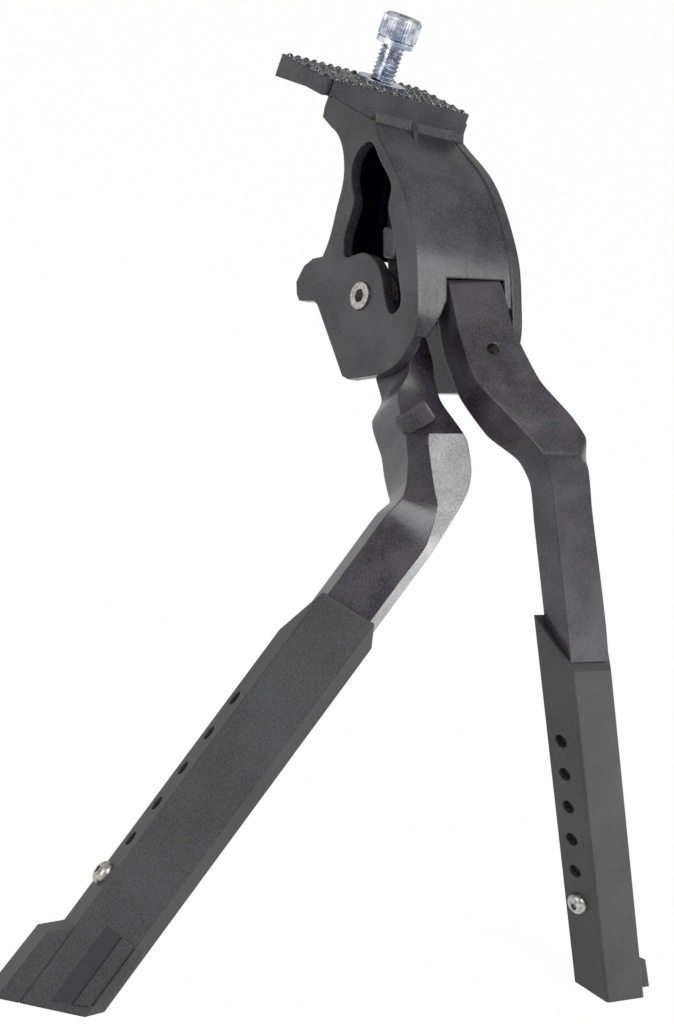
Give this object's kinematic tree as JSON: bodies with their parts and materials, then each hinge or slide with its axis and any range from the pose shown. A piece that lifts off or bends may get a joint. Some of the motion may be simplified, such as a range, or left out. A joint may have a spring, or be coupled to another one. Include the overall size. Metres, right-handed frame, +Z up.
{
  "type": "bicycle kickstand",
  "caption": "Bicycle centre stand: a cast housing bolts under the frame and carries bent folding legs with height-adjustable plastic sleeves that end in feet.",
  "frame": {"origin": "centre of the bolt hole on the top face of the mounting plate", "axes": "+Z up along the mounting bolt, X across the bicycle, -Y the side of the curved front wall"},
  "size_m": [0.3428, 0.1942, 0.356],
  "materials": {
    "black_paint": "satin-gloss black paint on an aluminium casting",
    "bright_zinc": "bright zinc",
    "bare_steel": "bare turned steel",
    "grey_metal": "dull grey",
    "bush_metal": "sintered bronze",
    "insert_brass": "plain brass",
    "sleeve_plastic": "matt dark grey, fine grain"
  },
  "bodies": {
    "mount_frame": {"housing": "black_paint", "mounting_bolt": "bright_zinc", "bolt_lock_washer": "bright_zinc", "bolt_flat_washer": "bright_zinc", "left_axle": "bare_steel", "right_axle": "bare_steel", "right_axle_ring": "bare_steel", "return_spring": "bare_steel", "spring_anchor": "grey_metal"},
    "left_leg_group": {"left_leg": "black_paint", "left_bush": "bush_metal", "left_insert": "insert_brass", "left_sleeve": "sleeve_plastic", "left_height_screw": "bare_steel"},
    "right_leg_group": {"right_leg": "black_paint", "right_bush": "bush_metal", "right_insert": "insert_brass", "right_sleeve": "sleeve_plastic", "right_height_screw": "bare_steel"}
  },
  "joints": [
    {"name": "left_leg_fold", "type": "hinge", "parent": "mount_frame", "child": "left_leg_group", "pos_m": [0, -0.05, -0.076], "axis": [1, 0, 0], "range_deg": [0, 84]},
    {"name": "right_leg_fold", "type": "hinge", "parent": "mount_frame", "child": "right_leg_group", "pos_m": [0.0175, -0.053, -0.071], "axis": [0.9684, 0.2421, 0.0605], "range_deg": [0, 84]}
  ],
  "couplings": [
    {"joint": "right_leg_fold", "follows": "left_leg_fold", "ratio": 1}
  ]
}
